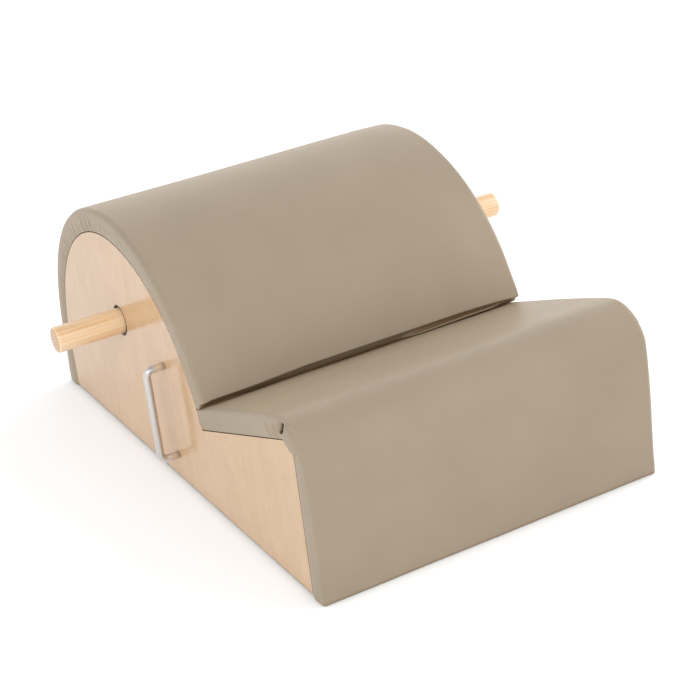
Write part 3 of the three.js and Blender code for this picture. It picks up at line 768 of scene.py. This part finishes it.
class Nodes:
    """A node tree, built up from small steps."""

    def __init__(self, tree):
        self.tree = tree

    def feed(self, socket, value):
        if isinstance(value, bpy.types.NodeSocket):
            self.tree.links.new(value, socket)
        else:
            socket.default_value = value

    def node(self, kind, settings=None, **inputs):
        made = self.tree.nodes.new(kind)
        for key, value in (settings or {}).items():
            setattr(made, key, value)
        for socket, value in inputs.items():
            self.feed(made.inputs[socket.replace("_", " ")], value)
        return made

    def vector(self, operation, a, b):
        made = self.node("ShaderNodeVectorMath", {"operation": operation})
        self.feed(made.inputs[0], a)
        self.feed(made.inputs[1], b)
        return made.outputs["Vector"]

    def math(self, operation, a, b=0.0, c=0.0):
        made = self.node("ShaderNodeMath", {"operation": operation})
        for socket, value in zip(made.inputs, (a, b, c)):
            self.feed(socket, value)
        return made.outputs[0]

    def place(self, stretch=(1, 1, 1)):
        """The point on the object, in metres, with each direction scaled."""
        here = self.node("ShaderNodeTexCoord").outputs["Object"]
        return self.vector("MULTIPLY", here, stretch)

    def parts(self, vector):
        return self.node("ShaderNodeSeparateXYZ", Vector=vector).outputs

    def noise(self, vector, scale, detail, roughness=0.5):
        made = self.node("ShaderNodeTexNoise", Vector=vector, Scale=scale, Detail=detail, Roughness=roughness)
        return made.outputs["Fac"]

    def ramp(self, value, *stops):
        made = self.node("ShaderNodeValToRGB", Fac=value)
        line = made.color_ramp
        while len(line.elements) < len(stops):
            line.elements.new(0.5)
        for element, (at, colour) in zip(line.elements, stops):
            element.position = at
            element.color = colour
        return made.outputs["Color"]

    def span(self, value, low, high, from_low=0.0, from_high=1.0, kind="LINEAR"):
        """Takes from_low..from_high to low..high."""
        ends = {"From_Min": from_low, "From_Max": from_high, "To_Min": low, "To_Max": high}
        made = self.node("ShaderNodeMapRange", {"interpolation_type": kind}, Value=value, **ends)
        return made.outputs["Result"]

    def mix(self, share, a, b):
        made = self.node("ShaderNodeMix", {"data_type": "RGBA", "clamp_factor": True})
        self.feed(made.inputs["Factor"], share)
        colours = [socket for socket in made.inputs if socket.type == "RGBA"]
        self.feed(colours[0], a)
        self.feed(colours[1], b)
        return [socket for socket in made.outputs if socket.type == "RGBA"][0]

    def openness(self, reach):
        """How much of a point's view is free of surfaces within reach, from 0 to 1."""
        return self.node("ShaderNodeAmbientOcclusion", {"samples": 8}, Distance=reach).outputs["AO"]

    def off_axis(self, vector, x, z):
        """Distance from the line along Y at x and z."""
        off = self.parts(self.vector("SUBTRACT", vector, (x, 0.0, z)))
        squares = [self.math("POWER", off[axis], 2.0) for axis in "XZ"]
        return self.math("SQRT", self.math("ADD", *squares))

    def facing_y(self):
        """How far a face looks along Y, either way, from 0 to 1."""
        normal = self.node("ShaderNodeNewGeometry").outputs["True Normal"]
        return self.math("ABSOLUTE", self.parts(normal)["Y"])

    def bump(self, height, distance, strength=1.0, after=None):
        made = self.node("ShaderNodeBump", Height=height, Distance=distance, Strength=strength)
        if after is not None:
            self.feed(made.inputs["Normal"], after)
        return made.outputs["Normal"]


class Look(Nodes):
    """A material whose steps end in one Principled shader."""

    def __init__(self, name, **sockets):
        self.material = bpy.data.materials.new(name)
        self.material.use_nodes = True
        super().__init__(self.material.node_tree)
        self.shader = self.tree.nodes["Principled BSDF"]
        self.set(**sockets)

    def set(self, **sockets):
        for socket, value in sockets.items():
            self.feed(self.shader.inputs[socket.replace("_", " ")], value)
        return self.material


# Painted shade: a dark colour laid into the vinyl in the slit behind the tuck
SLIT_SHADE_COLOUR = linear("2c1e12")
SLIT_SHADE = 0.92
SLIT_SHADE_HEIGHTS = (0.0095, 0.0200)
SLIT_SHADE_HALF_WIDTH, SLIT_SHADE_SOFT = 0.0034, 0.0010

# Sizes in the other materials
VINYL_SHADE_REACH, PANEL_SHADE_REACH = 0.0080, 0.0042  # painted shade: what stands nearer than this darkens their colour
HANDLE_SPARED = (0.010, 0.085)  # but not this near the handle's middle, in X and Z
PLY, YEAR_RING = 0.00138, 0.0021
PITH = (0.010, -0.016)  # off the dowel's axis in X and Z
HOLE_SHADE_RING = (0.0022, 0.0034)  # painted shade round the dowel's hole: full up to the first, none beyond the second
PAINTED_LIGHT_END = (0.002, 0.019)  # painted light on the handle's end towards the panel, off the panel, in the same way


def slit_shade(look, here):
    """How deep in the slit behind the tuck a point is, by its distance from a line there, from 0 to 1: the
    share of painted shade it gets.
    """
    heights = np.array(SLIT_SHADE_HEIGHTS)
    along = SLIT_AT + TUCK_LEAN * (heights - TUCK_LEVEL)
    low, high = step_route.place(along, np.zeros(2), heights)
    length = float(np.linalg.norm(high - low))
    run = (high - low) / length
    off = look.parts(look.vector("SUBTRACT", here, tuple(low)))

    def within(distance, limit, most):
        return look.span(distance, most, 0.0, limit - SLIT_SHADE_SOFT, limit + SLIT_SHADE_SOFT)

    up = look.math("ADD", look.math("MULTIPLY", off["X"], run[0]), look.math("MULTIPLY", off["Z"], run[2]))
    from_middle = look.math("ABSOLUTE", look.math("SUBTRACT", up, length / 2))
    across = [look.math("MULTIPLY", off["X"], run[2]), look.math("MULTIPLY", off["Z"], run[0])]
    from_line = look.math("ABSOLUTE", look.math("SUBTRACT", *across))
    inside = within(from_middle, length / 2, SLIT_SHADE)
    beside = within(from_line, SLIT_SHADE_HALF_WIDTH, 1.0)
    near = look.math("LESS_THAN", off["Y"], -INNER_HALF)
    return look.math("MULTIPLY", look.math("MULTIPLY", inside, beside), near)


def vinyl():
    """Taupe upholstery vinyl: a satin skin with a very fine leather grain, and painted shade in its crevices.
    """
    look = Look("vinyl", IOR=1.42, Specular_Tint=linear("ecd3b0"))
    look.set(Sheen_Weight=0.15, Sheen_Roughness=0.45, Sheen_Tint=linear("dcc09a"))
    here = look.place()
    colour = look.ramp(look.noise(here, 11.0, 3.0), (0.35, linear("938675")), (0.65, linear("978a78")))
    rough = look.span(look.noise(here, 45.0, 3.0), 0.39, 0.47)
    cells = look.node("ShaderNodeTexVoronoi", {"feature": "DISTANCE_TO_EDGE"}, Vector=here, Scale=1300.0)
    grain = look.math("MINIMUM", cells.outputs["Distance"], 0.25)
    pores = look.noise(here, 2600.0, 2.0)
    normal = look.bump(grain, distance=0.00012, strength=0.35)
    normal = look.bump(pores, distance=0.00002, strength=0.5, after=normal)
    # Painted shade: the colour darkens where other surfaces stand close, and goes dark in the slit behind the
    # tuck
    crevice_shade = look.span(look.openness(VINYL_SHADE_REACH), 0.86, 0.0, 0.40, 0.82)
    colour = look.mix(crevice_shade, colour, linear("7e6342"))
    colour = look.mix(slit_shade(look, here), colour, SLIT_SHADE_COLOUR)
    return look.set(Base_Color=colour, Roughness=rough, Normal=normal)


def veneer(look, along, across, light, dark, fleck):
    """Pale close-grained face veneer. along and across are the grain's directions on the object."""

    def stretched(along_scale, across_scale):
        return look.place(tuple(along_scale * a + across_scale * c for a, c in zip(along, across)))

    here = look.place()
    warp = look.vector("MULTIPLY", look.noise(here, 5.0, 2.0), (4.0, 4.0, 4.0))
    bands = look.noise(look.vector("ADD", stretched(8.0, 62.0), warp), 1.0, 4.0, 0.6)
    fine = look.noise(stretched(30.0, 900.0), 1.0, 2.0)
    cloud = look.noise(here, 22.0, 3.0)
    tone = look.math("ADD", look.math("MULTIPLY", bands, 0.4), look.math("MULTIPLY", fine, 0.25))
    tone = look.math("MULTIPLY_ADD", cloud, 0.35, tone)
    colour = look.ramp(tone, (0.36, linear(dark)), (0.62, linear(light)))
    spots = look.noise(stretched(60.0, 620.0), 1.0, 3.0)
    marked = look.span(spots, 0.0, 0.35, 0.60, 0.74)
    return look.mix(marked, colour, linear(fleck)), fine


def panel_ply():
    """Birch ply with a pale face veneer under clear lacquer, and its plies showing on every edge.

    It has shade painted into it in a ring round the dowel's hole, and where a cover stands close over it, and
    less lacquer there.
    """
    look = Look("panel_ply", Specular_IOR_Level=0.1, Roughness=0.5, Coat_Roughness=0.14, Coat_IOR=1.5)
    face, fine = veneer(look, (0, 0, 1), (1, 0, 0), "c4a27d", "b9956e", "a37b56")
    here = look.parts(look.place())
    plies = look.math("MULTIPLY", look.math("ABSOLUTE", here["Y"]), 1 / PLY)
    band = look.math("PINGPONG", plies, 1.0)
    edge_grain = look.noise(look.place((70.0, 900.0, 70.0)), 1.0, 3.0)
    edge = look.mix(look.span(band, 0.0, 1.0, 0.42, 0.58), linear("d8bb90"), linear("a97f52"))
    edge = look.mix(look.span(edge_grain, 0.0, 0.5, 0.45, 0.75), edge, linear("8c6640"))
    colour = look.mix(look.span(look.facing_y(), 0.0, 1.0, 0.6, 0.8), edge, face)

    # Painted shade: a dark ring round the dowel's hole, and darkening where surfaces stand close except at
    # the handle; the lacquer coat thins where either is painted
    from_axis = look.off_axis(look.place(), *dowel_centre)
    hole_shade = look.span(from_axis, 0.95, 0.0, *(bore_radius + ring for ring in HOLE_SHADE_RING))
    colour = look.mix(hole_shade, colour, linear("3c2616"))
    at_handle = look.math("COMPARE", here["X"], handle_x, HANDLE_SPARED[0])
    at_handle = look.math("MULTIPLY", at_handle, look.math("COMPARE", here["Z"], handle_z, HANDLE_SPARED[1]))
    crevice_shade = look.span(look.openness(PANEL_SHADE_REACH), 0.92, 0.0, 0.50, 0.90)
    crevice_shade = look.math("MULTIPLY", crevice_shade, look.math("SUBTRACT", 1.0, at_handle))
    colour = look.mix(crevice_shade, colour, linear("553a22"))
    lacquer = look.math("SUBTRACT", 1.0, look.math("MAXIMUM", hole_shade, crevice_shade))
    normal = look.bump(fine, distance=0.00002, strength=0.4)
    return look.set(Base_Color=colour, Coat_Weight=lacquer, Normal=normal)


def dowel_wood():
    """Turned beech: long streaks down its length and rings on its ends."""
    look = Look("dowel_wood", IOR=1.5, Roughness=0.42, Coat_Weight=0.6, Coat_Roughness=0.16, Coat_IOR=1.5)
    here = look.place()
    warp = look.noise(look.place((30.0, 4.0, 30.0)), 1.0, 2.0)
    bent = look.vector("ADD", here, look.vector("MULTIPLY", warp, (0.012, 0.012, 0.012)))
    from_pith = look.off_axis(bent, dowel_centre[0] + PITH[0], dowel_centre[1] + PITH[1])
    rings = look.math("PINGPONG", look.math("MULTIPLY", from_pith, 1 / YEAR_RING), 1.0)
    fine = look.noise(look.place((1100.0, 22.0, 1100.0)), 1.0, 2.0)
    tone = look.math("ADD", look.math("MULTIPLY", rings, 0.62), look.math("MULTIPLY", fine, 0.38))
    broad = look.noise(look.place((85.0, 7.0, 85.0)), 1.0, 3.0)
    streaks = look.noise(look.place((320.0, 9.0, 320.0)), 1.0, 2.0)
    grain = look.math("MULTIPLY_ADD", tone, 0.18, look.math("MULTIPLY", broad, 0.5))
    grain = look.math("MULTIPLY_ADD", streaks, 0.32, grain)
    side = look.ramp(grain, (0.34, linear("dcae7c")), (0.5, linear("e9c69c")), (0.66, linear("f0d8b9")))
    end = look.ramp(tone, (0.2, linear("a07044")), (0.6, linear("c2986a")))
    colour = look.mix(look.span(look.facing_y(), 0.0, 1.0, 0.75, 0.95), side, end)
    return look.set(Base_Color=colour, Normal=look.bump(fine, distance=0.00002, strength=0.35))


def sawn_wood(name, along, light, dark):
    """Planed rail or deck timber, unlacquered."""
    look = Look(name, IOR=1.45, Roughness=0.62)
    across = tuple(1 - a for a in along)
    colour, fine = veneer(look, along, across, light, dark, "a57c50")
    return look.set(Base_Color=colour, Normal=look.bump(fine, distance=0.00004, strength=0.5))


def foam():
    look = Look("foam", Roughness=0.95)
    cells = look.node("ShaderNodeTexVoronoi", Vector=look.place(), Scale=900.0).outputs["Distance"]
    colour = look.ramp(cells, (0.0, linear("cfc49c")), (0.5, linear("e9e2c8")))
    return look.set(Base_Color=colour, Normal=look.bump(cells, distance=0.0003))


def satin_steel(name, colour, roughness, grain, metallic=1.0, painted_light_end=None):
    """Brushed metal. grain stretches the brushing. The last argument is a lighter colour it takes towards the
    panel: painted light that lifts the dark of the arms' ends there.
    """
    look = Look(name, Metallic=metallic, Base_Color=linear(colour))
    # Painted light: the arms turn lighter towards the panel, to lift their shade there
    if painted_light_end is not None:
        outwards = look.math("ABSOLUTE", look.parts(look.place())["Y"])
        end = look.span(outwards, 1.0, 0.0, *(HALF_WIDTH + off for off in PAINTED_LIGHT_END))
        look.set(Base_Color=look.mix(end, linear(colour), linear(painted_light_end)))
    brushing = look.noise(look.place(grain), 1.0, 3.0)
    rough = look.span(brushing, roughness - 0.04, roughness + 0.05)
    return look.set(Roughness=rough, Normal=look.bump(brushing, distance=0.000008, strength=0.25))


def grip_rubber():
    look = Look("grip_rubber", Roughness=0.82, IOR=1.45)
    stipple = look.noise(look.place(), 900.0, 2.0)
    colour = look.ramp(stipple, (0.3, linear("6b6057")), (0.7, linear("7a6f65")))
    return look.set(Base_Color=colour, Normal=look.bump(stipple, distance=0.0002, strength=0.6))


BAR_BRUSHING = (900.0, 900.0, 30.0)
SCREW_BRUSHING = (400.0, 400.0, 400.0)
looks = {
    "vinyl": vinyl(),
    "panel": panel_ply(),
    "dowel": dowel_wood(),
    "rail": sawn_wood("rail_wood", (0, 1, 0), "dcc29a", "cda979"),
    "deck": sawn_wood("deck_ply", (0, 1, 0), "d5b88c", "bf9768"),
    "foam": foam(),
    "steel": satin_steel("handle_steel", "cbc8c6", 0.28, BAR_BRUSHING, metallic=0.75, painted_light_end="fffcf8"),
    "screws": satin_steel("fasteners", "c6c4bd", 0.34, SCREW_BRUSHING),
    "rubber": grip_rubber(),
}


def dress(made, look):
    made.data.materials.clear()
    made.data.materials.append(looks[look])


def stand_for(made, look, slot, body, *replaced):
    dress(made, look)
    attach(made, body)
    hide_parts(*replaced)
    return made


NODE_LOOKS = {
    "side_panel": "panel",
    "screw": "screws",
    "washer": "screws",
    "rail": "rail",
    "deck": "deck",
    "grip_strip": "rubber",
}
for name, node in nodes.items():
    for word, look in NODE_LOOKS.items():
        if word in name:
            dress(node, look)
            break

for name, pad in (("barrel", barrel_pad), ("step", step_pad)):
    cover = stand_for(pad.cover(f"{name}_pad_cover"), "vinyl", "vinyl", "body", f"{name}_cover")
    core = stand_for(pad.foam(f"{name}_pad_foam"), "foam", "foam", "body", f"{name}_foam")

stand_for(dowel_piece(), "dowel", "dowel_wood", "dowel", "hand_dowel")
for side, out in (("right", -1), ("left", 1)):
    handle = bent_handle(f"{side}_handle_bar", f"{side}_carry_handle", out)
    stand_for(handle, "steel", "handle_steel", "body", f"{side}_carry_handle")


# Camera, floor and lights

# The ring's strength along an axis, each way
WORLD_SIDES = (("X", 1.0, 1.23), ("X", -1.0, 1.18), ("Y", -1.0, 1.15), ("Y", 1.0, 2.35))
CEILING = 0.50
CEILING_RISE = (0.55, 0.85)  # over these heights in the sky the ring gives way to the ceiling
FLOOR_PAINTED_GLOW, FLOOR_REACH = 0.20, 0.03  # painted light: the floor glows, less where something is nearer than this, which paints a dark line where things meet it
LIGHT_AIM = (0, 0, 0.1)
LIGHTS = (
    # name, direction from the object, distance, size and power
    ("far_light", (0.2, 0.8, 0.6), 1.5, 1.1, 4.9),
    ("key_light", (0.46, -0.64, 0.61), 2.6, 0.9, 17.0),
)


def set_camera():
    data = bpy.data.cameras.new("camera")
    data.lens = CAMERA_LENS
    camera = bpy.data.objects.new("camera", data)
    bpy.context.scene.collection.objects.link(camera)
    forward = Vector(
        (
            -math.sin(CAMERA_AZIMUTH) * math.cos(CAMERA_ELEVATION),
            math.cos(CAMERA_AZIMUTH) * math.cos(CAMERA_ELEVATION),
            -math.sin(CAMERA_ELEVATION),
        )
    )
    level = Vector((math.cos(CAMERA_AZIMUTH), math.sin(CAMERA_AZIMUTH), 0))
    up = level.cross(forward)
    right = math.cos(CAMERA_ROLL) * level + math.sin(CAMERA_ROLL) * up
    up = right.cross(forward)
    turn = Matrix((right, up, -forward)).transposed().to_4x4()
    camera.matrix_world = Matrix.Translation(CAMERA_PLACE) @ turn
    bpy.context.scene.camera = camera


def set_floor():
    half = 6.0
    corners = [(-half, -half, 0), (half, -half, 0), (half, half, 0), (-half, half, 0)]
    floor = mesh_object("floor", corners, [(0, 1, 2, 3)])
    # Painted light: the floor glows pale blue, lifting its shadows and the light it throws back; the glow
    # fades near other surfaces, which paints a dark contact line
    look = Look("floor", Base_Color=linear("f4f4f4"), Roughness=0.9, Emission_Color=linear("e8f2fc"))
    painted_glow = look.span(look.openness(FLOOR_REACH), 0.0, FLOOR_PAINTED_GLOW, 0.45, 0.75)
    floor.data.materials.append(look.set(Emission_Strength=painted_glow))


def set_world():
    """A pale ring round the object, of its own strength towards each side, under a dimmer ceiling."""
    world = bpy.data.worlds.new("studio")
    world.use_nodes = True
    bpy.context.scene.world = world
    sky = Nodes(world.node_tree)
    here = sky.parts(sky.node("ShaderNodeTexCoord").outputs["Generated"])
    squares = [sky.math("POWER", here[axis], 2.0) for axis in "XY"]
    level = sky.math("MAXIMUM", sky.math("ADD", *squares), 1e-6)
    ring = 0.0
    for axis, way, strength in WORLD_SIDES:
        side = sky.math("MAXIMUM", sky.math("MULTIPLY", here[axis], way), 0.0)
        ring = sky.math("MULTIPLY_ADD", sky.math("POWER", side, 2.0), strength, ring)
    ring = sky.math("DIVIDE", ring, level)
    up = sky.span(here["Z"], 0.0, 1.0, *CEILING_RISE, kind="SMOOTHSTEP")
    light = sky.math("MULTIPLY_ADD", up, sky.math("SUBTRACT", CEILING, ring), ring)
    background = world.node_tree.nodes["Background"]
    sky.feed(background.inputs["Color"], (1, 1, 1, 1))
    sky.feed(background.inputs["Strength"], light)


def soft_light(name, direction, distance, size, power):
    """A square soft box, aimed at the object."""
    data = bpy.data.lights.new(name, "AREA")
    data.shape = "SQUARE"
    data.size = size
    data.energy = power
    light = bpy.data.objects.new(name, data)
    bpy.context.scene.collection.objects.link(light)
    aim = Vector(LIGHT_AIM)
    light.location = aim + Vector(direction).normalized() * distance
    light.rotation_euler = (aim - light.location).to_track_quat("-Z", "Y").to_euler()


set_camera()
set_floor()
set_world()
for light in LIGHTS:
    soft_light(*light)
bpy.context.scene.view_settings.view_transform = "Standard"
